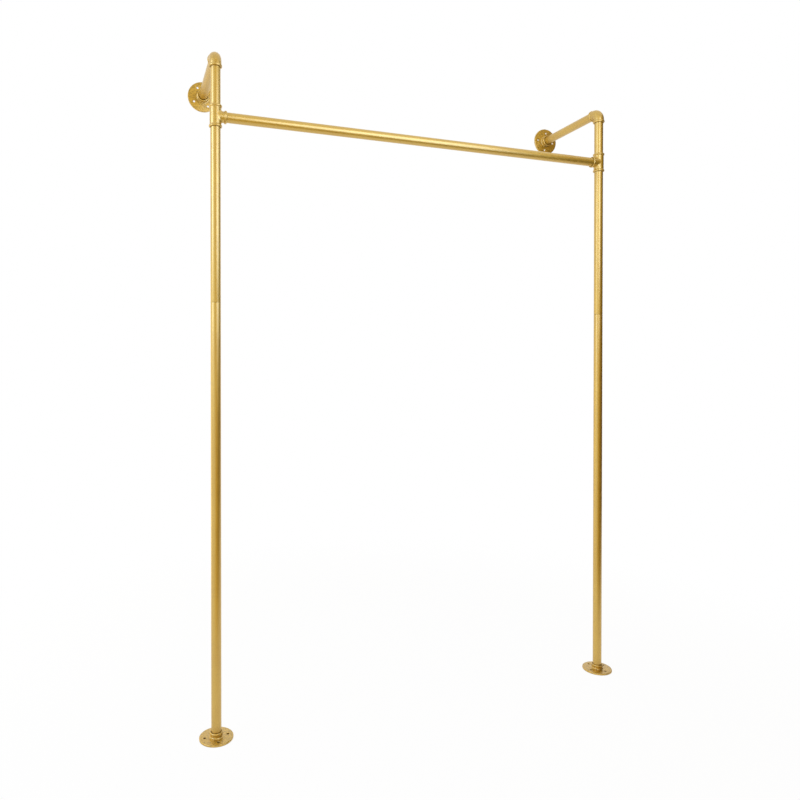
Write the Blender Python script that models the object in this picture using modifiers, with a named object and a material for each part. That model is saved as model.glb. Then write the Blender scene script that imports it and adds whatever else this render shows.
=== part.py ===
"""Floor-to-wall clothes rack made of gold-painted pipe and cast pipe fittings.

Frame: +X runs along the hanging bar, +Y points at the wall, +Z is up.
The origin is on the floor, under the middle of the rack's bounding box.
All sizes are in metres and all angles in degrees.
"""
import math

import bmesh
import bpy
from mathutils import Vector

# Pipe stock
PIPE_OD = 0.0267
PIPE_WALL = 0.0025
THREAD_LENGTH = 0.014
THREAD_DEPTH = 0.0009
PIPE_CHAMFER = 0.0005

# Cut lengths, end to end, threads included
BAR_LENGTH = 1.200
LOWER_UPRIGHT_LENGTH = 1.150
UPPER_UPRIGHT_LENGTH = 0.475
RISER_LENGTH = 0.127
ARM_LENGTH = 0.260

# Stud that joins the two lengths of an upright from the inside
STUD_LENGTH = 0.060
STUD_WALL = 0.0028

# Clearance round a thread, and between any two pieces that seat on each other
THREAD_CLEARANCE = 0.0003
SEAT_GAP = 0.0003

# Rolled bead round the mouth of a tee or an elbow
BEAD_WIDTH = 0.0065
BEAD_HEIGHT = 0.0022

# Tee; its throat is the room that a socket's floor leaves beside the pipe that crosses it
TEE_THROAT = 0.002
TEE_WALL = 0.0025
TEE_BRANCH_STEP = 0.0005
TEE_FILLET = 0.005

# Elbow; its crotch is the radius on the inside of the bend
ELBOW_THROAT = 0.004
ELBOW_WALL = 0.0031
ELBOW_CROTCH = 0.006
ELBOW_BEAD_HEIGHT = 0.0018

# Round flange with a raised hub that is open right through: plate, fillet, neck and bead
FLANGE_OD = 0.090
FLANGE_PLATE = 0.0055
FLANGE_RIM_ROUND = 0.0016
FLANGE_FOOT_CHAMFER = 0.0006
HUB_WALL = 0.0034
HUB_FILLET = 0.004
HUB_NECK = 0.003
HUB_BEAD_WIDTH = 0.0065
HUB_BEAD_HEIGHT = 0.0021
SCREW_HOLE_OD = 0.007
SCREW_HOLES = 4

# How far each flange is turned about its own axis
FLOOR_FLANGE_TURN = {"left": 2.0, "right": 14.0}
WALL_FLANGE_TURN = {"left": 31.0, "right": -6.0}

# Facets
ROUND_STEPS = 24
FLANGE_STEPS = 32
HOLE_STEPS = 12
BEAD_STEPS = 4
FILLET_STEPS = 3
RIM_STEPS = 2
BEND_STEPS = 6
SHARP_ANGLE = 35.0
MERGE_DISTANCE = 0.00002
CUT_MARGIN = 0.002
SINK = 0.0002

# Finishes: base colour, roughness, metallic
PIPE_GOLD = ((0.66, 0.45, 0.13, 1.0), 0.36, 0.85)
CAST_GOLD = ((0.62, 0.41, 0.11, 1.0), 0.44, 0.85)
STUD_STEEL = ((0.55, 0.55, 0.56, 1.0), 0.40, 1.0)

# Radii that the pieces share
PIPE_RADIUS = PIPE_OD / 2
BORE_RADIUS = PIPE_RADIUS - PIPE_WALL
THREAD_RADIUS = PIPE_RADIUS - THREAD_DEPTH
SOCKET_RADIUS = THREAD_RADIUS + THREAD_CLEARANCE
TEE_RADIUS = SOCKET_RADIUS + TEE_WALL
TEE_BRANCH_RADIUS = TEE_RADIUS - TEE_BRANCH_STEP
ELBOW_RADIUS = SOCKET_RADIUS + ELBOW_WALL
ELBOW_BEND_RADIUS = ELBOW_RADIUS + ELBOW_CROTCH
HUB_RADIUS = SOCKET_RADIUS + HUB_WALL
FLANGE_RADIUS = FLANGE_OD / 2
SCREW_CIRCLE_RADIUS = (HUB_RADIUS + FLANGE_RADIUS) / 2

# From the crossing of a fitting's axes, or a flange's foot, to its end faces
TEE_REACH = PIPE_RADIUS + TEE_THROAT + THREAD_LENGTH
ELBOW_REACH = PIPE_RADIUS + ELBOW_THROAT + THREAD_LENGTH
FLANGE_HEIGHT = FLANGE_PLATE + HUB_FILLET + HUB_NECK + HUB_BEAD_WIDTH

# Distance from a fitting's centre, or a flange's foot, to the end of the pipe screwed into it
TEE_INSET = TEE_REACH - THREAD_LENGTH + SEAT_GAP
ELBOW_INSET = ELBOW_REACH - THREAD_LENGTH + SEAT_GAP
FLANGE_INSET = FLANGE_HEIGHT - THREAD_LENGTH + SEAT_GAP

# Places that follow from the sizes above
UPRIGHT_X = BAR_LENGTH / 2 + TEE_INSET
JOINT_Z = FLANGE_INSET + LOWER_UPRIGHT_LENGTH
UPPER_Z = JOINT_Z + SEAT_GAP
TEE_Z = UPPER_Z + UPPER_UPRIGHT_LENGTH + TEE_INSET
RISER_Z = TEE_Z + TEE_INSET
ELBOW_Z = RISER_Z + RISER_LENGTH + ELBOW_INSET
ARM_REACH = ELBOW_INSET + ARM_LENGTH + FLANGE_INSET
UPRIGHT_Y = (FLANGE_RADIUS - ARM_REACH) / 2

SIDES = {"left": -1, "right": 1}


def clear_scene():
    for obj in list(bpy.data.objects):
        bpy.data.objects.remove(obj, do_unlink=True)


def new_collection(name):
    collection = bpy.data.collections.new(name)
    bpy.context.scene.collection.children.link(collection)
    return collection


def new_empty(name, location, parent=None):
    empty = bpy.data.objects.new(name, None)
    empty.location = location
    empty.parent = parent
    RACK.objects.link(empty)
    return empty


def arc(centre, radius, start, end, steps):
    """Points of an arc in the (radius, height) plane, ends included."""
    turns = [math.radians(start + (end - start) * i / steps) for i in range(steps + 1)]
    return [(centre[0] + radius * math.cos(t), centre[1] + radius * math.sin(t)) for t in turns]


def bead(root, face, width, height):
    """Half-round bead on a radius of root, from the end face at the top down to its lower edge."""
    turns = [math.pi * i / BEAD_STEPS for i in range(BEAD_STEPS + 1)]
    return [(root + height * math.sin(t), face - width * (1 - math.cos(t)) / 2) for t in turns]


def mirrored(points):
    """The same profile upside down, still running from top to bottom."""
    return [(radius, -height) for radius, height in reversed(points)]


def turned(name, profile, steps, collection, closed=True):
    """A profile of (radius, height) points, run down its outer side, turned about Z."""
    count = len(profile)
    edges = [(i, (i + 1) % count) for i in range(count if closed else count - 1)]
    mesh = bpy.data.meshes.new(name)
    mesh.from_pydata([(radius, 0.0, height) for radius, height in profile], edges, [])
    obj = bpy.data.objects.new(name, mesh)
    collection.objects.link(obj)
    screw = obj.modifiers.new("Turn", "SCREW")
    screw.steps = steps
    screw.render_steps = steps
    screw.use_merge_vertices = True
    screw.merge_threshold = MERGE_DISTANCE
    return obj


def solid_turned(name, outline, steps, collection):
    """A turned solid with no bore: the outline is closed onto the axis at both ends."""
    top, bottom = outline[0][1], outline[-1][1]
    return turned(name, [(0.0, top)] + outline + [(0.0, bottom)], steps, collection, closed=False)


def as_tool(obj):
    """Marks an object as a cutter or a shape that is joined into another."""
    obj.hide_render = True
    obj.display_type = "WIRE"
    return obj


def combine(obj, tool, operation):
    boolean = obj.modifiers.new(tool.name, "BOOLEAN")
    boolean.operation = operation
    boolean.solver = "EXACT"
    boolean.object = tool


def evaluated_mesh(obj):
    bpy.context.view_layer.update()
    return bpy.data.meshes.new_from_object(obj.evaluated_get(bpy.context.evaluated_depsgraph_get()))


def weld(mesh):
    """Joins points that lie on each other and turns the faces outwards."""
    work = bmesh.new()
    work.from_mesh(mesh)
    bmesh.ops.remove_doubles(work, verts=work.verts, dist=MERGE_DISTANCE)
    bmesh.ops.recalc_face_normals(work, faces=work.faces)
    work.to_mesh(mesh)
    work.free()


def settle(obj):
    """Turns the modifiers of a finished shape into its mesh and shades its round faces smooth."""
    mesh = evaluated_mesh(obj)
    weld(mesh)
    obj.modifiers.clear()
    mesh.name = obj.name
    mesh.shade_smooth()
    mesh.set_sharp_from_angle(angle=math.radians(SHARP_ANGLE))
    obj.data = mesh
    return obj


def place(obj, parent, location, rotation, finish):
    """Hangs a piece on its parent and gives it a painted or plated material of its own."""
    obj.parent = parent
    obj.location = location
    obj.rotation_euler = [math.radians(angle) for angle in rotation]
    colour, roughness, metallic = finish
    material = bpy.data.materials.new(obj.name)
    material.use_nodes = True
    shader = material.node_tree.nodes["Principled BSDF"]
    shader.inputs["Base Color"].default_value = colour
    shader.inputs["Roughness"].default_value = roughness
    shader.inputs["Metallic"].default_value = metallic
    obj.data.materials.clear()
    obj.data.materials.append(material)


def threaded_end(height):
    """Outer side of a pipe end that is cut down to its thread, from the end face to the full pipe."""
    shoulder = height - THREAD_LENGTH
    return [(THREAD_RADIUS, height), (THREAD_RADIUS, shoulder), (PIPE_RADIUS, shoulder)]


def plain_end(height):
    """Outer side of a pipe end that butts against another length of pipe."""
    return [(PIPE_RADIUS - PIPE_CHAMFER, height), (PIPE_RADIUS, height - PIPE_CHAMFER)]


def make_pipe(name, length, top=threaded_end, bottom=threaded_end):
    """A pipe along +Z from the origin, with the given kind of end at each end."""
    half = length / 2
    outside = top(half) + mirrored(bottom(half))
    profile = [(BORE_RADIUS, half)] + outside + [(BORE_RADIUS, -half)]
    return settle(turned(name, [(r, h + half) for r, h in profile], ROUND_STEPS, RACK))


def make_stud(name):
    """Hollow stud, centred on the origin, that fits the bore of both lengths of an upright."""
    half = STUD_LENGTH / 2
    outer = BORE_RADIUS - THREAD_CLEARANCE
    outside = [(outer - PIPE_CHAMFER, half), (outer, half - PIPE_CHAMFER)]
    inner = outer - STUD_WALL
    profile = [(inner, half)] + outside + mirrored(outside) + [(inner, -half)]
    return settle(turned(name, profile, ROUND_STEPS, RACK))


def turned_tool(name, outline, steps=ROUND_STEPS):
    """Turned cutter, or turned shape to be joined, with the given outer side."""
    return as_tool(solid_turned(name, outline, steps, TOOLS))


def socket(reach):
    """Outer side of the cutter for a socket that faces +Z at the given reach."""
    return [(SOCKET_RADIUS, reach + CUT_MARGIN), (SOCKET_RADIUS, reach - THREAD_LENGTH)]


def saddle_curve(around):
    """Foot on the run, corner and head on the branch of a tee's fillet, at an angle round the branch."""
    run, branch = TEE_RADIUS - SINK, TEE_BRANCH_RADIUS - SINK
    lean = math.asin(branch * math.cos(around) / run)
    height = branch * math.sin(around)
    spread = lean * (1 + TEE_FILLET / (run * math.asin(branch / run)))
    corner = Vector((run * math.cos(lean), run * math.sin(lean), height))
    foot = Vector((run * math.cos(spread), run * math.sin(spread), height * (1 + TEE_FILLET / branch)))
    head = corner + Vector((TEE_FILLET, 0.0, 0.0))
    return foot, corner, head


def make_saddle(name):
    """Cast fillet between the run of a tee and its branch along +X, lofted round the branch."""
    mesh = bmesh.new()
    curves = [saddle_curve(2 * math.pi * (i + 0.5) / ROUND_STEPS) for i in range(ROUND_STEPS)]
    inside = 1 - TEE_WALL / TEE_RADIUS
    rings = [[mesh.verts.new((foot.x * inside, foot.y * inside, foot.z)) for foot, _, _ in curves]]
    for step in range(FILLET_STEPS + 1):
        t = step / FILLET_STEPS
        shares = ((1 - t) ** 2, 2 * t * (1 - t), t ** 2)
        bends = [sum((p * s for p, s in zip(curve, shares)), Vector()) for curve in curves]
        rings.append([mesh.verts.new(point) for point in bends])
    for near, far in zip(rings, rings[1:]):
        for i in range(ROUND_STEPS):
            mesh.faces.new((near[i - 1], near[i], far[i], far[i - 1]))
    mesh.faces.new(rings[0])
    mesh.faces.new(rings[-1])
    bmesh.ops.recalc_face_normals(mesh, faces=mesh.faces)
    data = bpy.data.meshes.new(name)
    mesh.to_mesh(data)
    mesh.free()
    saddle = bpy.data.objects.new(name, data)
    TOOLS.objects.link(saddle)
    return as_tool(saddle)


def make_tee(name):
    """Beaded tee at the origin: its run along Z, its branch along +X."""
    run_end = bead(TEE_RADIUS, TEE_REACH, BEAD_WIDTH, BEAD_HEIGHT)
    branch_end = bead(TEE_BRANCH_RADIUS, TEE_REACH, BEAD_WIDTH, BEAD_HEIGHT)
    mouth = socket(TEE_REACH) + [(BORE_RADIUS, TEE_REACH - THREAD_LENGTH)]
    tee = solid_turned(name, run_end + mirrored(run_end), ROUND_STEPS, RACK)
    branch = turned_tool(name + "_branch", branch_end + [(TEE_BRANCH_RADIUS, 0.0)])
    run_core = turned_tool(name + "_run_core", mouth + mirrored(mouth))
    branch_core = turned_tool(name + "_branch_core", mouth + [(BORE_RADIUS, 0.0)])
    for tool in (branch, branch_core):
        tool.rotation_mode = "ZYX"
        tool.rotation_euler = (0.0, math.radians(90.0), math.radians(180.0 / ROUND_STEPS))
    combine(tee, branch, "UNION")
    combine(tee, make_saddle(name + "_saddle"), "UNION")
    combine(tee, run_core, "DIFFERENCE")
    combine(tee, branch_core, "DIFFERENCE")
    return settle(tee)


def bend_path(reach):
    """Points of the elbow's centre line in the YZ plane, from its foot to its end towards the wall."""
    radius = ELBOW_BEND_RADIUS
    turns = [math.radians(90.0 * i / BEND_STEPS) for i in range(BEND_STEPS + 1)]
    bend = [(radius * (1 - math.cos(t)), radius * (math.sin(t) - 1)) for t in turns]
    return [(0.0, -reach)] + bend + [(reach, 0.0)]


def bent_tube(name, radius, path, collection):
    """Closed tube of the given radius along a path in the YZ plane, as a mesh."""
    curve = bpy.data.curves.new(name + "_line", "CURVE")
    curve.dimensions = "3D"
    curve.bevel_depth = radius
    curve.bevel_resolution = ROUND_STEPS // 2 - 2
    curve.use_fill_caps = True
    spline = curve.splines.new("POLY")
    spline.points.add(len(path) - 1)
    for point, (y, z) in zip(spline.points, path):
        point.co = (0.0, y, z, 1.0)
    line = bpy.data.objects.new(name + "_line", curve)
    collection.objects.link(line)
    mesh = evaluated_mesh(line)
    weld(mesh)
    bpy.data.objects.remove(line, do_unlink=True)
    obj = bpy.data.objects.new(name, mesh)
    collection.objects.link(obj)
    return obj


def make_elbow(name):
    """Beaded elbow with its corner at the origin: one mouth faces down, the other faces the wall."""
    elbow = bent_tube(name, ELBOW_RADIUS, bend_path(ELBOW_REACH - SINK), RACK)
    passage = as_tool(bent_tube(name + "_passage", BORE_RADIUS, bend_path(ELBOW_REACH), TOOLS))
    combine(elbow, passage, "DIFFERENCE")
    mouth = bead(ELBOW_RADIUS - SINK, ELBOW_REACH, BEAD_WIDTH, ELBOW_BEAD_HEIGHT + SINK)
    for label, turn in (("down", 180.0), ("wall", -90.0)):
        ring = turned_tool(name + "_bead_" + label, mouth)
        cutter = turned_tool(name + "_socket_" + label, socket(ELBOW_REACH))
        for tool, operation in ((ring, "UNION"), (cutter, "DIFFERENCE")):
            tool.rotation_euler = (math.radians(turn), 0.0, 0.0)
            combine(elbow, tool, operation)
    return settle(elbow)


def make_flange(name, turn):
    """Round flange standing on its foot at the origin, hub up, with open screw holes."""
    fillet_centre = (HUB_RADIUS + HUB_FILLET, FLANGE_PLATE + HUB_FILLET)
    round_centre = (FLANGE_RADIUS - FLANGE_RIM_ROUND, FLANGE_PLATE - FLANGE_RIM_ROUND)
    profile = [(SOCKET_RADIUS, FLANGE_HEIGHT)]
    profile += bead(HUB_RADIUS, FLANGE_HEIGHT, HUB_BEAD_WIDTH, HUB_BEAD_HEIGHT)
    profile += arc(fillet_centre, HUB_FILLET, 180.0, 270.0, FILLET_STEPS)
    profile += arc(round_centre, FLANGE_RIM_ROUND, 90.0, 0.0, RIM_STEPS)
    profile += [(FLANGE_RADIUS, FLANGE_FOOT_CHAMFER), (FLANGE_RADIUS - FLANGE_FOOT_CHAMFER, 0.0)]
    profile += [(SOCKET_RADIUS, 0.0)]
    flange = turned(name, profile, FLANGE_STEPS, RACK)

    hole = [(SCREW_HOLE_OD / 2, FLANGE_PLATE + CUT_MARGIN), (SCREW_HOLE_OD / 2, -CUT_MARGIN)]
    for i in range(SCREW_HOLES):
        angle = math.radians(turn + 360.0 * i / SCREW_HOLES)
        cutter = turned_tool("%s_hole_%d" % (name, i + 1), hole, HOLE_STEPS)
        cutter.location = SCREW_CIRCLE_RADIUS * Vector((math.cos(angle), math.sin(angle), 0.0))
        combine(flange, cutter, "DIFFERENCE")
    return settle(flange)


def build_side(side, direction, root):
    """One upright with its feet, fittings and wall arm, round the upright's axis."""
    axis = new_empty("axis_" + side, (direction * UPRIGHT_X, UPRIGHT_Y, 0.0), root)
    none, to_wall, from_wall = (0.0, 0.0, 0.0), (-90.0, 0.0, 0.0), (90.0, 0.0, 0.0)
    inward = (0.0, 0.0, 0.0 if direction < 0 else 180.0)

    floor_flange = make_flange("floor_flange_" + side, FLOOR_FLANGE_TURN[side])
    place(floor_flange, axis, (0.0, 0.0, 0.0), none, CAST_GOLD)
    lower = make_pipe("lower_upright_" + side, LOWER_UPRIGHT_LENGTH, top=plain_end)
    place(lower, axis, (0.0, 0.0, FLANGE_INSET), none, PIPE_GOLD)
    stud = make_stud("joining_stud_" + side)
    place(stud, axis, (0.0, 0.0, JOINT_Z + SEAT_GAP / 2), none, STUD_STEEL)
    upper = make_pipe("upper_upright_" + side, UPPER_UPRIGHT_LENGTH, bottom=plain_end)
    place(upper, axis, (0.0, 0.0, UPPER_Z), none, PIPE_GOLD)
    place(make_tee("tee_" + side), axis, (0.0, 0.0, TEE_Z), inward, CAST_GOLD)
    place(make_pipe("riser_" + side, RISER_LENGTH), axis, (0.0, 0.0, RISER_Z), none, PIPE_GOLD)
    place(make_elbow("elbow_" + side), axis, (0.0, 0.0, ELBOW_Z), none, CAST_GOLD)
    arm = make_pipe("wall_arm_" + side, ARM_LENGTH)
    place(arm, axis, (0.0, ELBOW_INSET, ELBOW_Z), to_wall, PIPE_GOLD)
    wall_flange = make_flange("wall_flange_" + side, WALL_FLANGE_TURN[side])
    place(wall_flange, axis, (0.0, ARM_REACH, ELBOW_Z), from_wall, CAST_GOLD)


def build_bar(root):
    bar = make_pipe("hanging_bar", BAR_LENGTH)
    place(bar, root, (-BAR_LENGTH / 2, UPRIGHT_Y, TEE_Z), (0.0, 90.0, 0.0), PIPE_GOLD)


clear_scene()
RACK = new_collection("clothes_rack")
TOOLS = new_collection("cutters")
ROOT = new_empty("rack_origin", (0.0, 0.0, 0.0))
for SIDE, DIRECTION in SIDES.items():
    build_side(SIDE, DIRECTION, ROOT)
build_bar(ROOT)
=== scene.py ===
"""Looks of a floor-to-wall clothes rack in satin gold paint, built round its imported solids.

Frame: +X runs along the hanging bar, +Y points at the wall, +Z is up; metres throughout.
Every painted piece is rebuilt here with fine facets from the box of the solid that it replaces.
The two studs hidden in the uprights keep their solids and only get a finish.
"""
import math

import bmesh
import bpy
from mathutils import Matrix, Vector


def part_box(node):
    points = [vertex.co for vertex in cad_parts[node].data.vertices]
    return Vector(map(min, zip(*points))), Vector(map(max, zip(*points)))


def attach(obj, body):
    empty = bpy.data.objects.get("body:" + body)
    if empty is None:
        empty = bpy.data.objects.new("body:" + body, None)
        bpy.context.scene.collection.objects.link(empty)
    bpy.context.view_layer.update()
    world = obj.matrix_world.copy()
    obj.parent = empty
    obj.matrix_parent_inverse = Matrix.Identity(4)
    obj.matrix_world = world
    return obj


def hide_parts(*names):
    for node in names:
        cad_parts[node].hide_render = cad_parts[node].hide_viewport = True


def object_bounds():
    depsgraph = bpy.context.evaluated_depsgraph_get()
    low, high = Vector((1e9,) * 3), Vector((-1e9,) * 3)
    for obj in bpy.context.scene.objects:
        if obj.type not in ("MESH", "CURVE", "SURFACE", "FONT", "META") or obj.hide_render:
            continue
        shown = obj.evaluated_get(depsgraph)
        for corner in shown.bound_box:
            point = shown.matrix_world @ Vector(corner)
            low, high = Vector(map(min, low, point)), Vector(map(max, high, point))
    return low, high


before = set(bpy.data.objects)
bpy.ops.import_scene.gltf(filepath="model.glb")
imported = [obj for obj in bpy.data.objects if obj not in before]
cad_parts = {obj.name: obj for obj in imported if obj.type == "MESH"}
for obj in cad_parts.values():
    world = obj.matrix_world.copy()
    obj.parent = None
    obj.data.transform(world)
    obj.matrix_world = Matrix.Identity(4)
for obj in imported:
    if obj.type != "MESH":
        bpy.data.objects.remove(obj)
CAD_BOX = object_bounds()
SCENE = bpy.context.scene
SIDES = ("left", "right")

# Camera: place, tilt above the horizon and turn from +Y towards -X in degrees, lens, sensor and shift
CAMERA_PLACE = (-0.8512, -1.8434, 0.9860)
CAMERA_TILT = -0.445
CAMERA_HEADING = -18.507
CAMERA_LENS = 29.094
CAMERA_SENSOR = 36.0
CAMERA_SHIFT = (0.07708, -0.03532)

# Fineness of the meshes
PIPE_STEPS = 72
CAST_STEPS = 96
FLANGE_STEPS = 144
HOLE_STEPS = 40
ARC_STEPS = 8
BEND_STEPS = 28
MERGE_DISTANCE = 1e-6
TEE_VOXEL = 0.00048
TEE_SMOOTHING = 6
TEE_SMOOTH_FACTOR = 0.5
SHARP_ANGLE = 32.0

# Pipe: wall and turned-down end, and how far the full diameter runs on into a fitting's mouth
PIPE_WALL = 0.0025
THREAD_LENGTH = 0.014
THREAD_DEPTH = 0.0009
THREAD_CLEARANCE = 0.0003
PIPE_LEAD_IN = 0.0008
PIPE_EDGE = 0.0005

# Fittings: sockets, the flare at their mouths, and the beads round them
MOUTH_FLARE = 0.0013
MOUTH_DEPTH = 0.0016
LIP_ROUND = 0.0005
BEAD_WIDTH = 0.0065
TEE_BEAD_HEIGHT = 0.0022
TEE_BRANCH_STEP = 0.0005
TEE_FILLET = 0.005
ELBOW_BEAD_HEIGHT = 0.0018
ELBOW_CROTCH = 0.006

# Flange: plate, hub and screw holes, and the angle of the first hole in degrees
FLANGE_PLATE = 0.0055
FLANGE_RIM_ROUND = 0.0016
FLANGE_FOOT_CHAMFER = 0.0006
HUB_BEAD_HEIGHT = 0.0021
HUB_WALL = 0.0034
HUB_FILLET = 0.004
SCREW_HOLE_RADIUS = 0.0035
SCREW_HOLE_FLARE = 0.0005
SCREW_HOLES = 4
FLANGE_TURN = {
    "floor_flange_left": 2.0,
    "floor_flange_right": 14.0,
    "wall_flange_left": 31.0,
    "wall_flange_right": -6.0,
}
CUT_MARGIN = 0.002

# Radii that follow from the pipe's own
BAR_LOW, BAR_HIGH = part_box("hanging_bar")
PIPE_RADIUS = (BAR_HIGH.z - BAR_LOW.z) / 2
PIPE_BORE = PIPE_RADIUS - PIPE_WALL
SOCKET_RADIUS = PIPE_RADIUS - THREAD_DEPTH + THREAD_CLEARANCE
HUB_RADIUS = SOCKET_RADIUS + HUB_WALL

# Gold paint: linear colours of its face, its browner patches, the painted shade in its recesses and
# its edge-on gloss
GOLD_FACE = (0.60, 0.378, 0.038, 1.0)
GOLD_PATCH = (0.57, 0.350, 0.032, 1.0)
GOLD_RECESS_SHADE = (0.14, 0.07, 0.010, 1.0)
GOLD_EDGE = (0.95, 0.80, 0.45, 1.0)
GOLD_METAL_SHARE = 0.72
BINDER_IOR = 1.80
BINDER_GLOSS = 0.20

# Gold paint: patterns. A noise is its scale and detail; a range is the part of it that counts
UNIT = (0.0, 1.0)
PATCH_NOISE = (9.0, 4.0)
PATCH_RANGE = (0.35, 0.65)
FLAKE_SCALE = 1800.0
FLAKE_GLINT = (0.93, 1.07)
GRAIN_DETAIL = 3.0
GRAIN_BUMP = 0.5
HOLLOW_RANGE = (0.38, 0.56)
# Painted shade in recesses: how far the occlusion looks, its samples and the part of it that darkens
RECESS_SHADE_REACH = 0.006
RECESS_SHADE_SAMPLES = 8
RECESS_SHADE_RANGE = (0.25, 0.70)
SHEEN_NOISE = (45.0, 3.0)
SHEEN_RANGE = (0.3, 0.7)
SHEEN_SPREAD = 0.04

# Steel of the studs: linear colours, fine lines, roughness, and strength and depth of the lines
STEEL_FACE = (0.56, 0.56, 0.57, 1.0)
STEEL_LINE = (0.40, 0.40, 0.41, 1.0)
STEEL_STRETCH = (4.0, 4.0, 60.0)
STEEL_NOISE = (40.0, 4.0)
STEEL_RANGE = (0.3, 0.7)
STEEL_ROUGHNESS = (0.28, 0.46)
STEEL_BUMP = (0.3, 0.00005)

# Studio: white where it is seen, straight or in gloss, and weaker, warmer fill light otherwise
WHITE = (1.0, 1.0, 1.0, 1.0)
WORLD_FILL = (0.48, 0.42, 0.31, 1.0)
FLOOR_FILL = (0.66, 0.62, 0.52, 1.0)
FLOOR_SIZE = 16.0
FLOOR_DROP = 0.0003
# Width of the soft edge of the painted shadow under each floor flange
FLOOR_PAINTED_SHADOW_EDGE = 0.006
FLOOR_SHADOW_SHARE = 0.03
FLOOR_SHADOW_RADIUS = (0.70, 1.90)

# Glowing cards round the rack, outside the picture, that the paint shows as painted reflections, and
# as painted shade where they are dark: edges, and colours by the share of the way along them
ALONG_BAR = (1.0, 0.0, 0.0)
TO_WALL = (0.0, 1.0, 0.0)
TO_FRONT_RIGHT = (1.0, -1.0, 0.0)
CARD_LEFT = -1.7
CARD_RIGHT = 3.0
CARD_FRONT = -2.7
CARD_BACK = 0.9
CARD_MIDDLE = 2.0
CARD_HEIGHT = 3.8
CARD_FLOOR_EDGE = -0.80
FRONT_CARD = (
    (0.00, (0.95, 0.82, 0.46, 1.0)),
    (0.23, (0.72, 0.52, 0.15, 1.0)),
    (0.40, (0.60, 0.41, 0.09, 1.0)),
    (0.57, (0.36, 0.22, 0.05, 1.0)),
    (0.83, (0.10, 0.05, 0.010, 1.0)),
)
UPPER_CARD = (
    (0.00, (0.95, 0.82, 0.46, 1.0)),
    (0.23, (0.72, 0.52, 0.15, 1.0)),
    (0.80, (0.74, 0.49, 0.10, 1.0)),
    (1.00, (0.60, 0.35, 0.06, 1.0)),
)
# Near-black glowing card on the right: painted shade on the sides that face it
RIGHT_SHADE_CARD = (
    (0.00, (0.08, 0.04, 0.008, 1.0)),
    (1.00, (0.08, 0.04, 0.010, 1.0)),
)
FLOOR_CARD = (
    (0.15, (0.92, 0.72, 0.32, 1.0)),
    (0.28, (0.66, 0.47, 0.15, 1.0)),
    (0.42, (0.42, 0.28, 0.070, 1.0)),
    (0.57, (0.28, 0.17, 0.040, 1.0)),
    (0.85, (0.09, 0.045, 0.008, 1.0)),
)
FLOOR_CARD_REACH = (0.0, 3.5)

# Bright glowing card beside the rack, for a painted reflection, one colour throughout
SIDE_CARD = (
    (0.0, (1.0, 0.90, 0.55, 1.0)),
    (1.0, (1.0, 0.90, 0.55, 1.0)),
)
SIDE_CARD_PLACE = -1.55
SIDE_CARD_REACH = (0.45, 1.35)
SIDE_CARD_HEIGHT = 1.4
SIDE_CARD_BRIGHTNESS = 2.0

# Lamps: name, place, aim, width and height, and brightness
LAMP_COLOUR = (0.76, 1.00, 1.58)
SOFTBOXES = (
    ("softbox_left", (-4.2, -0.9, 2.5), (0.0, -0.12, 1.6), (2.0, 1.8), 4.3),
    ("softbox_front", (0.145, -1.194, 1.75), (-0.512, -0.441, 1.72), (1.3, 0.9), 3.05),
)

# Sockets of a Mix node that take its factor and its two colours, and the one that gives its colour
MIX_INPUTS = (0, 6, 7)
MIX_OUTPUT = 2


def new_object(name, data):
    """An object of the scene with the given mesh, light or camera."""
    obj = bpy.data.objects.new(name, data)
    SCENE.collection.objects.link(obj)
    return obj


def rotation(degrees, axis):
    """Matrix of a turn about a main axis."""
    return Matrix.Rotation(math.radians(degrees), 4, axis)


def middle(box):
    """Centre of a box given by its two corners."""
    return (box[0] + box[1]) / 2


def full_circle(steps):
    """Angles of even steps once round."""
    return [2 * math.pi * i / steps for i in range(steps)]


def arc(centre, radius, start, end, steps=ARC_STEPS):
    """Points of an arc in a profile's plane, between two angles in degrees, ends included."""
    turns = [math.radians(start + (end - start) * i / steps) for i in range(steps + 1)]
    return [(centre[0] + radius * math.cos(t), centre[1] + radius * math.sin(t)) for t in turns]


def half_round(root, face, width, height):
    """Half-round bead on a radius of root, from the end face at the top down to its lower edge."""
    steps = 2 * ARC_STEPS
    turns = [math.pi * i / steps for i in range(steps + 1)]
    return [(root + height * math.sin(t), face - width * (1 - math.cos(t)) / 2) for t in turns]


def mirrored(points):
    """The same profile upside down, still running from top to bottom."""
    return [(radius, -height) for radius, height in reversed(points)]


def axis_closed(outline):
    """A turned outline closed onto its axis at both ends."""
    return [(0.0, outline[0][1])] + outline + [(0.0, outline[-1][1])]


def mouth(reach):
    """Wall, flare and lip of a socket whose mouth faces up at the given reach, run upwards."""
    flare = SOCKET_RADIUS + MOUTH_FLARE
    return [
        (SOCKET_RADIUS, reach - THREAD_LENGTH),
        (SOCKET_RADIUS, reach - MOUTH_DEPTH),
        (flare, reach - LIP_ROUND),
        (flare + LIP_ROUND, reach),
    ]


def grid_mesh(name, rings):
    """Closed mesh of quads between rings of points; the last ring joins the first."""
    work = bmesh.new()
    verts = [[work.verts.new(point) for point in ring] for ring in rings]
    for near, far in zip(verts, verts[1:] + verts[:1]):
        for i in range(len(near)):
            work.faces.new((near[i - 1], near[i], far[i], far[i - 1]))
    bmesh.ops.remove_doubles(work, verts=work.verts, dist=MERGE_DISTANCE)
    bmesh.ops.recalc_face_normals(work, faces=work.faces)
    mesh = bpy.data.meshes.new(name)
    work.to_mesh(mesh)
    work.free()
    return mesh


def turned(name, profile, steps):
    """Mesh of a closed (radius, height) profile turned about Z."""
    turns = full_circle(steps)
    rings = [[(r * math.cos(t), r * math.sin(t), h) for t in turns] for r, h in profile]
    return grid_mesh(name, rings)


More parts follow.
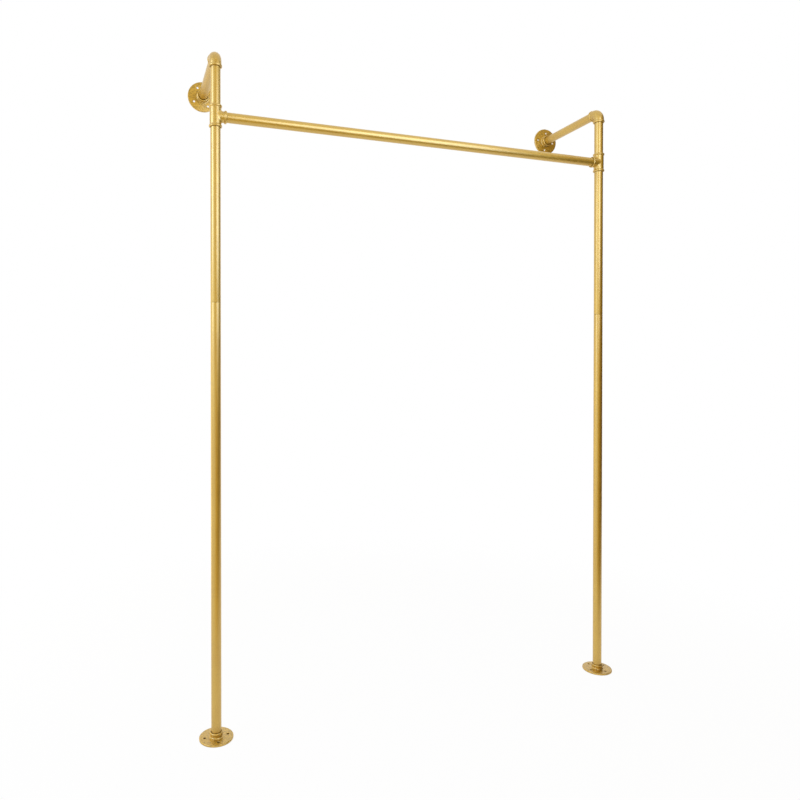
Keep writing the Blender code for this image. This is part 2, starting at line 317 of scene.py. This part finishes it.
def evaluated(obj):
    """The object's mesh with its modifiers applied; the object itself goes."""
    bpy.context.view_layer.update()
    shape = obj.evaluated_get(bpy.context.evaluated_depsgraph_get())
    mesh = bpy.data.meshes.new_from_object(shape)
    bpy.data.objects.remove(obj, do_unlink=True)
    return mesh


def combined(mesh, tools):
    """Mesh with other meshes joined to it or cut out of it, in order."""
    obj = new_object("work", mesh)
    helpers = []
    for tool, operation in tools:
        helper = new_object("tool", tool)
        boolean = obj.modifiers.new(operation, "BOOLEAN")
        boolean.operation = operation
        boolean.solver = "EXACT"
        boolean.object = helper
        helpers.append(helper)
    result = evaluated(obj)
    for helper in helpers:
        bpy.data.objects.remove(helper, do_unlink=True)
    return result


def add_piece(name, mesh, place, node, material):
    """Puts a finished mesh in place of the solid that it stands for."""
    mesh.transform(place)
    mesh.name = name
    mesh.shade_smooth()
    mesh.set_sharp_from_angle(angle=math.radians(SHARP_ANGLE))
    mesh.materials.clear()
    mesh.materials.append(material)
    piece = new_object(name, mesh)
    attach(piece, "root")
    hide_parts(node)


def pipe_mesh(name, length, radius, top_threaded, bottom_threaded):
    """A hollow pipe along Z, centred on the origin; each end is turned down or plain."""
    half = length / 2
    ends = []
    for threaded in (top_threaded, bottom_threaded):
        if threaded:
            shoulder = half - THREAD_LENGTH + PIPE_LEAD_IN
            ends.append([
                (radius - THREAD_DEPTH - PIPE_EDGE, half),
                (radius - THREAD_DEPTH, half - PIPE_EDGE),
                (radius - THREAD_DEPTH, shoulder + PIPE_EDGE),
                (radius - PIPE_EDGE, shoulder),
                (radius, shoulder - PIPE_EDGE),
            ])
        else:
            ends.append(arc((radius - PIPE_EDGE, half - PIPE_EDGE), PIPE_EDGE, 90.0, 0.0))
    profile = [(PIPE_BORE, half)] + ends[0] + mirrored(ends[1]) + [(PIPE_BORE, -half)]
    return turned(name, profile, PIPE_STEPS)


def add_pipe(node, material, top_threaded=True, bottom_threaded=True):
    """A pipe along the longest side of its solid's box, top at the far end of that axis."""
    low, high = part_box(node)
    size = high - low
    along = max(range(3), key=lambda axis: size[axis])
    radius = size[along - 1] / 2
    mesh = pipe_mesh(node, size[along], radius, top_threaded, bottom_threaded)
    turns = (rotation(90.0, "Y"), rotation(-90.0, "X"), Matrix())
    place = Matrix.Translation(middle((low, high))) @ turns[along]
    add_piece("pipe_" + node, mesh, place, node, material)


def flange_mesh(name, radius, height, turn):
    """A round flange standing on its foot at the origin, hub up, with open screw holes."""
    profile = mouth(height)[1:]
    profile += half_round(HUB_RADIUS, height, BEAD_WIDTH, HUB_BEAD_HEIGHT)
    corner = (HUB_RADIUS + HUB_FILLET, FLANGE_PLATE + HUB_FILLET)
    profile += arc(corner, HUB_FILLET, 180.0, 270.0)
    rim = (radius - FLANGE_RIM_ROUND, FLANGE_PLATE - FLANGE_RIM_ROUND)
    profile += arc(rim, FLANGE_RIM_ROUND, 90.0, 0.0)
    profile += [
        (radius, FLANGE_FOOT_CHAMFER),
        (radius - FLANGE_FOOT_CHAMFER, 0.0),
        (SOCKET_RADIUS, 0.0),
    ]
    circle = (HUB_RADIUS + radius) / 2
    flare = SCREW_HOLE_RADIUS + SCREW_HOLE_FLARE
    hole = axis_closed([
        (flare + CUT_MARGIN, FLANGE_PLATE + CUT_MARGIN),
        (SCREW_HOLE_RADIUS, FLANGE_PLATE - SCREW_HOLE_FLARE),
        (SCREW_HOLE_RADIUS, -CUT_MARGIN),
    ])
    tools = []
    for i in range(SCREW_HOLES):
        cutter = turned("hole", hole, HOLE_STEPS)
        angle = math.radians(turn + 360.0 * i / SCREW_HOLES)
        place = (circle * math.cos(angle), circle * math.sin(angle), 0.0)
        cutter.transform(Matrix.Translation(place))
        tools.append((cutter, "DIFFERENCE"))
    return combined(turned(name, profile, FLANGE_STEPS), tools)


def add_flange(node, material):
    """A flange on the floor, or on the wall where its solid's box is flat along Y."""
    low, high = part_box(node)
    size = high - low
    centre = middle((low, high))
    radius = size.x / 2
    on_wall = size.y < size.z
    height = size.y if on_wall else size.z
    mesh = flange_mesh(node, radius, height, FLANGE_TURN[node])
    if on_wall:
        place = Matrix.Translation((centre.x, high.y, centre.z)) @ rotation(90.0, "X")
    else:
        place = Matrix.Translation((centre.x, centre.y, low.z))
    add_piece("cast_" + node, mesh, place, node, material)


def bend_frame(distance, bend_radius):
    """Place and turn at a distance along an elbow's centre line, from the start of its bend."""
    length = bend_radius * math.pi / 2
    turn = min(max(distance, 0.0), length) / bend_radius
    beyond = max(distance - length, 0.0)
    before = min(distance, 0.0)
    y = bend_radius * (1 - math.cos(turn)) + beyond
    z = bend_radius * (math.sin(turn) - 1) + before
    return Vector((0.0, y, z)), turn


def elbow_mesh(name, reach, bead_radius):
    """A beaded elbow with its corner at the origin: one mouth faces down, the other faces +Y."""
    body = bead_radius - ELBOW_BEAD_HEIGHT
    bend_radius = body + ELBOW_CROTCH
    straight = reach - bend_radius
    length = bend_radius * math.pi / 2
    half = length / 2 + straight
    end = mouth(half) + half_round(body, half, BEAD_WIDTH, ELBOW_BEAD_HEIGHT)
    bend = [(body, length / 2 - length * i / BEND_STEPS) for i in range(BEND_STEPS + 1)]
    bore = [(PIPE_BORE, height) for _, height in reversed(bend)]
    profile = end + bend + mirrored(end) + bore
    turns = full_circle(CAST_STEPS)
    rings = []
    for radius, height in profile:
        centre, turn = bend_frame(length / 2 - height, bend_radius)
        level = Vector((1.0, 0.0, 0.0))
        across = Vector((0.0, math.cos(turn), -math.sin(turn)))
        rings.append([centre + radius * (level * math.cos(t) + across * math.sin(t)) for t in turns])
    return grid_mesh(name, rings)


def add_elbow(side, material):
    """An elbow whose corner is where its riser's and its wall arm's axes meet."""
    node = "elbow_" + side
    low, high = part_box(node)
    corner = middle(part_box("riser_" + side))
    corner.z = middle(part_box("wall_arm_" + side)).z
    mesh = elbow_mesh(node, corner.z - low.z, (high.x - low.x) / 2)
    add_piece("cast_" + node, mesh, Matrix.Translation(corner), node, material)


def saddle_mesh(run, branch):
    """Cast fillet between a tee's run along Z and its branch along +X, lofted round the branch."""
    rings = [[] for _ in range(ARC_STEPS + 3)]
    for i in range(CAST_STEPS):
        around = 2 * math.pi * (i + 0.5) / CAST_STEPS
        lean = math.asin(branch * math.cos(around) / run)
        height = branch * math.sin(around)
        spread = lean * (1 + TEE_FILLET / (run * math.asin(branch / run)))
        corner = Vector((run * math.cos(lean), run * math.sin(lean), height))
        foot_height = height * (1 + TEE_FILLET / branch)
        foot = Vector((run * math.cos(spread), run * math.sin(spread), foot_height))
        head = corner + Vector((TEE_FILLET, 0.0, 0.0))
        rings[0].append(Vector((0.0, 0.0, 0.0)))
        for step in range(ARC_STEPS + 1):
            t = step / ARC_STEPS
            point = foot * (1 - t) ** 2 + corner * 2 * t * (1 - t) + head * t ** 2
            rings[step + 1].append(point)
        rings[-1].append(Vector((head.x, 0.0, 0.0)))
    return grid_mesh("saddle", rings)


def tee_mesh(name, reach, bead_radius):
    """A beaded tee at the origin: its run along Z, its branch along +X."""
    run = bead_radius - TEE_BEAD_HEIGHT
    branch = run - TEE_BRANCH_STEP
    run_end = half_round(run, reach, BEAD_WIDTH, TEE_BEAD_HEIGHT)
    branch_end = half_round(branch, reach, BEAD_WIDTH, TEE_BEAD_HEIGHT)
    core = [(SOCKET_RADIUS + MOUTH_FLARE + LIP_ROUND, reach + CUT_MARGIN)] + mouth(reach)[::-1]
    core += [(PIPE_BORE, reach - THREAD_LENGTH)]
    branch_body = turned("branch", axis_closed(branch_end + [(branch, 0.0)]), CAST_STEPS)
    branch_core = turned("core", axis_closed(core + [(PIPE_BORE, 0.0)]), CAST_STEPS)
    for sideways in (branch_body, branch_core):
        sideways.transform(rotation(90.0, "Y"))
    tools = [
        (branch_body, "UNION"),
        (saddle_mesh(run, branch), "UNION"),
        (turned("core", axis_closed(core + mirrored(core)), CAST_STEPS), "DIFFERENCE"),
        (branch_core, "DIFFERENCE"),
    ]
    body = combined(turned(name, axis_closed(run_end + mirrored(run_end)), CAST_STEPS), tools)
    obj = new_object("work", body)
    remesh = obj.modifiers.new("Remesh", "REMESH")
    remesh.mode = "VOXEL"
    remesh.voxel_size = TEE_VOXEL
    smooth = obj.modifiers.new("Smooth", "SMOOTH")
    smooth.factor = TEE_SMOOTH_FACTOR
    smooth.iterations = TEE_SMOOTHING
    return evaluated(obj)


def add_tee(side, material):
    """A tee on its upright's axis, with its branch towards the bar."""
    node = "tee_" + side
    low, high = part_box(node)
    centre = middle((low, high))
    centre.x = middle(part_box("riser_" + side)).x
    mesh = tee_mesh(node, (high.z - low.z) / 2, (high.y - low.y) / 2)
    inward = rotation(0.0 if side == "left" else 180.0, "Z")
    place = Matrix.Translation(centre) @ inward
    add_piece("cast_" + node, mesh, place, node, material)


class Nodes:
    """Short calls for building a node tree; most give back an output to link on."""

    def __init__(self, tree):
        self.tree = tree
        tree.nodes.clear()

    def add(self, kind, **settings):
        """A new node with the given settings."""
        node = self.tree.nodes.new(kind)
        for name, value in settings.items():
            setattr(node, name, value)
        return node

    def link(self, source, target):
        """Links an output to an input."""
        self.tree.links.new(source, target)

    def feed(self, socket, value):
        """Sets an input to a number or a colour, or links it to another node's output."""
        if isinstance(value, (float, tuple)):
            socket.default_value = value
        else:
            self.link(value, socket)

    def noise(self, vector, scale, detail):
        """Noise at a place, about 0.5 on average."""
        node = self.add("ShaderNodeTexNoise")
        node.inputs["Scale"].default_value = scale
        node.inputs["Detail"].default_value = detail
        self.link(vector, node.inputs["Vector"])
        return node.outputs["Fac"]

    def map_range(self, value, source, target, smooth=False):
        """A value taken from one range to another, and held at its ends."""
        node = self.add("ShaderNodeMapRange")
        node.interpolation_type = "SMOOTHSTEP" if smooth else "LINEAR"
        for name, number in zip(("From Min", "From Max", "To Min", "To Max"), source + target):
            node.inputs[name].default_value = number
        self.link(value, node.inputs["Value"])
        return node.outputs["Result"]

    def ramp(self, value, stops):
        """Colour of a value between 0 and 1, eased from stop to stop."""
        node = self.add("ShaderNodeValToRGB")
        node.color_ramp.interpolation = "EASE"
        elements = node.color_ramp.elements
        while len(elements) < len(stops):
            elements.new(1.0)
        for element, (position, colour) in zip(elements, stops):
            element.position = position
            element.color = colour
        self.link(value, node.inputs["Fac"])
        return node.outputs["Color"]

    def math(self, operation, first, second):
        """A sum, product or the like of two values."""
        node = self.add("ShaderNodeMath", operation=operation)
        for socket, value in zip(node.inputs, (first, second)):
            self.feed(socket, value)
        return node.outputs["Value"]

    def mix_colour(self, factor, first, second, blend="MIX"):
        """Two colours mixed or blended by a factor."""
        node = self.add("ShaderNodeMix", data_type="RGBA", blend_type=blend)
        for index, value in zip(MIX_INPUTS, (factor, first, second)):
            self.feed(node.inputs[index], value)
        return node.outputs[MIX_OUTPUT]

    def measure(self, operation, vector, other):
        """Distance or dot product of a place and a constant."""
        node = self.add("ShaderNodeVectorMath", operation=operation)
        self.link(vector, node.inputs[0])
        node.inputs[1].default_value = other
        return node.outputs["Value"]

    def sees_background(self):
        """1 for what the camera sees, straight or in gloss or glass, and 0 for other rays."""
        path = self.add("ShaderNodeLightPath").outputs
        seen = self.math("MAXIMUM", path["Is Camera Ray"], path["Is Glossy Ray"])
        return self.math("MAXIMUM", seen, path["Is Transmission Ray"])

    def bump(self, height, strength, distance):
        """Normal of a surface with a relief."""
        node = self.add("ShaderNodeBump")
        node.inputs["Strength"].default_value = strength
        node.inputs["Distance"].default_value = distance
        self.link(height, node.inputs["Height"])
        return node.outputs["Normal"]

    def emission(self, colour, strength):
        """Shader that only glows."""
        node = self.add("ShaderNodeEmission")
        self.link(colour, node.inputs["Color"])
        self.feed(node.inputs["Strength"], strength)
        return node.outputs["Emission"]

    def mix_shader(self, factor, first, second):
        """Two shaders mixed by a factor."""
        node = self.add("ShaderNodeMixShader")
        for socket, value in zip(node.inputs, (factor, first, second)):
            self.link(value, socket)
        return node.outputs["Shader"]

    def surface(self, shader, kind="ShaderNodeOutputMaterial"):
        """Makes a shader the tree's surface."""
        self.link(shader, self.add(kind).inputs["Surface"])


def new_material(name):
    """A material of one principled shader: itself, its tree, the shader's inputs and coordinates."""
    material = bpy.data.materials.new(name)
    material.use_nodes = True
    tree = Nodes(material.node_tree)
    shader = tree.add("ShaderNodeBsdfPrincipled")
    tree.surface(shader.outputs["BSDF"])
    coords = tree.add("ShaderNodeTexCoord").outputs["Object"]
    return material, tree, shader.inputs, coords


def gold_paint(name, grain, depth, pit_tone_and_shade, roughness, coat_roughness):
    """Satin gold paint: fine flakes in a clear binder over a surface with a grain of its own, with
    painted shade in its recesses and partly in the hollows of its grain.
    """
    material, tree, shader, coords = new_material(name)
    patches = tree.map_range(tree.noise(coords, *PATCH_NOISE), PATCH_RANGE, UNIT, smooth=True)
    colour = tree.mix_colour(patches, GOLD_FACE, GOLD_PATCH)

    flakes = tree.add("ShaderNodeTexVoronoi")
    flakes.inputs["Scale"].default_value = FLAKE_SCALE
    tree.link(coords, flakes.inputs["Vector"])
    split = tree.add("ShaderNodeSeparateColor")
    tree.link(flakes.outputs["Color"], split.inputs["Color"])
    glint = tree.map_range(split.outputs["Red"], UNIT, FLAKE_GLINT)
    colour = tree.mix_colour(1.0, colour, glint, "MULTIPLY")

    # The grain's hollows are darker and its tops lighter: partly the cast grain's own tone, partly
    # painted shade in the hollows
    relief = tree.noise(coords, grain, GRAIN_DETAIL)
    shade = (1.0 - pit_tone_and_shade, 1.0 + pit_tone_and_shade / 2)
    grain_tone_and_shade = tree.map_range(relief, HOLLOW_RANGE, shade, smooth=True)
    colour = tree.mix_colour(1.0, colour, grain_tone_and_shade, "MULTIPLY")

    # Painted shade: the colour turns to the dark recess shade where the occlusion finds recesses,
    # creases and joints between parts
    recess = tree.add("ShaderNodeAmbientOcclusion", samples=RECESS_SHADE_SAMPLES)
    recess.inputs["Distance"].default_value = RECESS_SHADE_REACH
    unshaded_share = tree.map_range(recess.outputs["AO"], RECESS_SHADE_RANGE, UNIT, smooth=True)
    colour = tree.mix_colour(unshaded_share, GOLD_RECESS_SHADE, colour)
    tree.link(colour, shader["Base Color"])

    shader["Metallic"].default_value = GOLD_METAL_SHARE
    shader["Specular Tint"].default_value = GOLD_EDGE
    shader["Specular IOR Level"].default_value = BINDER_GLOSS
    sheen = tree.noise(coords, *SHEEN_NOISE)
    spread = (roughness - SHEEN_SPREAD, roughness + SHEEN_SPREAD)
    tree.link(tree.map_range(sheen, SHEEN_RANGE, spread), shader["Roughness"])
    shader["Coat Weight"].default_value = 1.0
    shader["Coat Roughness"].default_value = coat_roughness
    shader["Coat IOR"].default_value = BINDER_IOR

    tree.link(tree.bump(relief, GRAIN_BUMP, depth), shader["Normal"])
    return material


def brushed_steel(name):
    """Bare turned steel with fine lines round it."""
    material, tree, shader, coords = new_material(name)
    stretch = tree.add("ShaderNodeMapping")
    stretch.inputs["Scale"].default_value = STEEL_STRETCH
    tree.link(coords, stretch.inputs["Vector"])
    lines = tree.noise(stretch.outputs["Vector"], *STEEL_NOISE)
    tree.link(tree.mix_colour(lines, STEEL_FACE, STEEL_LINE), shader["Base Color"])
    shader["Metallic"].default_value = 1.0
    tree.link(tree.map_range(lines, STEEL_RANGE, STEEL_ROUGHNESS), shader["Roughness"])
    tree.link(tree.bump(lines, *STEEL_BUMP), shader["Normal"])
    return material


def make_world():
    """White background, also in reflections, with a weaker fill light of its own."""
    world = bpy.data.worlds.new("studio")
    SCENE.world = world
    world.use_nodes = True
    world.cycles.sampling_method = "NONE"
    tree = Nodes(world.node_tree)
    backdrop = tree.add("ShaderNodeBackground")
    colour = tree.mix_colour(tree.sees_background(), WORLD_FILL, WHITE)
    tree.link(colour, backdrop.inputs["Color"])
    tree.surface(backdrop.outputs["Background"], "ShaderNodeOutputWorld")


def stage_material(name):
    """An empty material for the stage, not sampled as a lamp: itself, its tree and coordinates."""
    material = bpy.data.materials.new(name)
    material.use_nodes = True
    material.cycles.emission_sampling = "NONE"
    tree = Nodes(material.node_tree)
    coords = tree.add("ShaderNodeTexCoord").outputs["Object"]
    return material, tree, coords


def make_floor():
    """White floor, also in reflections, that keeps a soft shadow and has a painted shadow under the
    flanges.
    """
    place = (0.0, 0.0, CAD_BOX[0].z - FLOOR_DROP)
    bpy.ops.mesh.primitive_plane_add(size=FLOOR_SIZE, location=place)
    floor = bpy.context.object
    floor.name = "floor"
    material, tree, coords = stage_material("floor_white")
    # Painted shadow: the floor's glow fades to nothing under each floor flange, over a soft edge
    outside_painted_shadow = 1.0
    for side in SIDES:
        low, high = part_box("floor_flange_" + side)
        foot = middle((low, high))
        rim = (high.x - low.x) / 2
        reach = tree.measure("DISTANCE", coords, (foot.x, foot.y, 0.0))
        clear = tree.map_range(reach, (rim - FLOOR_PAINTED_SHADOW_EDGE, rim), UNIT, smooth=True)
        outside_painted_shadow = tree.math("MULTIPLY", clear, outside_painted_shadow)
    colour = tree.mix_colour(tree.sees_background(), FLOOR_FILL, WHITE)
    glow = tree.emission(colour, outside_painted_shadow)
    paint = tree.add("ShaderNodeBsdfDiffuse")
    paint.inputs["Color"].default_value = WHITE
    away = tree.measure("DISTANCE", coords, (0.0, 0.0, 0.0))
    share = tree.map_range(away, FLOOR_SHADOW_RADIUS, (FLOOR_SHADOW_SHARE, 0.0), smooth=True)
    tree.surface(tree.mix_shader(share, glow, paint.outputs["BSDF"]))
    floor.data.materials.append(material)


def add_glowing_card(name, low, high, along, reach, stops, brightness=1.0):
    """Flat glowing card between two corners, unseen by the camera, for painted reflections; its
    colour runs along a direction.
    """
    ends = (Vector(low), Vector(high))
    flat = min(range(3), key=lambda axis: ends[1][axis] - ends[0][axis])
    corners = []
    for first, second in ((0, 0), (1, 0), (1, 1), (0, 1)):
        # The card spreads along the two axes that come after its flat one, counted round
        corner = ends[0].copy()
        corner[flat - 2] = ends[first][flat - 2]
        corner[flat - 1] = ends[second][flat - 1]
        corners.append(corner)
    mesh = bpy.data.meshes.new(name)
    mesh.from_pydata(corners, [], [(0, 1, 2, 3)])
    card = new_object(name, mesh)
    card.visible_camera = False
    material, tree, coords = stage_material(name)
    share = tree.map_range(tree.measure("DOT_PRODUCT", coords, along), reach, UNIT)
    tree.surface(tree.emission(tree.ramp(share, stops), brightness))
    mesh.materials.append(material)


def make_glowing_cards():
    """Glowing cards in front, on the right, on the floor in front and on the left: painted
    reflections, and painted shade from the dark one on the right.
    """
    floor = CAD_BOX[0].z
    add_glowing_card(
        "card_front", (CARD_LEFT, CARD_FRONT, floor), (CARD_RIGHT, CARD_FRONT, CARD_MIDDLE),
        ALONG_BAR, (CARD_LEFT, CARD_RIGHT), FRONT_CARD,
    )
    add_glowing_card(
        "card_upper", (CARD_LEFT, CARD_FRONT, CARD_MIDDLE), (CARD_RIGHT, CARD_FRONT, CARD_HEIGHT),
        ALONG_BAR, (CARD_LEFT, CARD_RIGHT), UPPER_CARD,
    )
    add_glowing_card(
        "card_right", (CARD_RIGHT, CARD_FRONT, floor), (CARD_RIGHT, CARD_BACK, CARD_HEIGHT),
        TO_WALL, (CARD_FRONT, CARD_BACK), RIGHT_SHADE_CARD,
    )
    add_glowing_card(
        "card_floor", (CARD_LEFT, CARD_FRONT, floor), (CARD_RIGHT, CARD_FLOOR_EDGE, floor),
        TO_FRONT_RIGHT, FLOOR_CARD_REACH, FLOOR_CARD,
    )
    near, far = SIDE_CARD_REACH
    add_glowing_card(
        "card_left", (SIDE_CARD_PLACE, near, floor), (SIDE_CARD_PLACE, far, SIDE_CARD_HEIGHT),
        TO_WALL, SIDE_CARD_REACH, SIDE_CARD, SIDE_CARD_BRIGHTNESS,
    )


def add_softbox(name, place, target, size, radiance):
    """Rectangular lamp of the given brightness, hidden from the camera."""
    light = bpy.data.lights.new(name, "AREA")
    light.shape = "RECTANGLE"
    light.size, light.size_y = size
    light.color = LAMP_COLOUR
    light.energy = radiance * math.pi * size[0] * size[1]
    lamp = new_object(name, light)
    lamp.location = place
    aim = Vector(target) - Vector(place)
    lamp.rotation_euler = aim.to_track_quat("-Z", "Y").to_euler()
    lamp.visible_camera = False


def make_camera():
    """The photo's own view."""
    data = bpy.data.cameras.new("camera")
    data.lens = CAMERA_LENS
    data.sensor_width = CAMERA_SENSOR
    data.shift_x, data.shift_y = CAMERA_SHIFT
    camera = new_object("camera", data)
    camera.location = CAMERA_PLACE
    tilt = math.radians(90.0 + CAMERA_TILT)
    camera.rotation_euler = (tilt, 0.0, math.radians(CAMERA_HEADING))
    SCENE.camera = camera


# Finishes: scale and depth of the grain, darkening of its pits (partly the grain's own tone, partly
# painted shade), roughness below and of the binder
PIPE_PAINT = gold_paint(
    "pipe_paint", grain=420.0, depth=0.000004, pit_tone_and_shade=0.05, roughness=0.42, coat_roughness=0.33,
)
CAST_PAINT = gold_paint(
    "cast_paint", grain=300.0, depth=0.00008, pit_tone_and_shade=0.16, roughness=0.42, coat_roughness=0.33,
)
PLATE_PAINT = gold_paint(
    "plate_paint", grain=230.0, depth=0.0011, pit_tone_and_shade=0.26, roughness=0.44, coat_roughness=0.30,
)
STUD_FINISH = brushed_steel("stud_steel")

# Pieces: the two lengths of an upright meet with plain ends, and every other end is in a socket
add_pipe("hanging_bar", PIPE_PAINT)
for side in SIDES:
    add_pipe("lower_upright_" + side, PIPE_PAINT, top_threaded=False)
    add_pipe("upper_upright_" + side, PIPE_PAINT, bottom_threaded=False)
    add_pipe("riser_" + side, PIPE_PAINT)
    add_pipe("wall_arm_" + side, PIPE_PAINT)
    add_tee(side, CAST_PAINT)
    add_elbow(side, CAST_PAINT)
    add_flange("floor_flange_" + side, PLATE_PAINT)
    add_flange("wall_flange_" + side, PLATE_PAINT)
    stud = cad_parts["joining_stud_" + side]
    stud.data.materials.clear()
    stud.data.materials.append(STUD_FINISH)

# Studio and camera
make_world()
make_floor()
make_glowing_cards()
for softbox in SOFTBOXES:
    add_softbox(*softbox)
make_camera()
SCENE.view_settings.view_transform = "Standard"
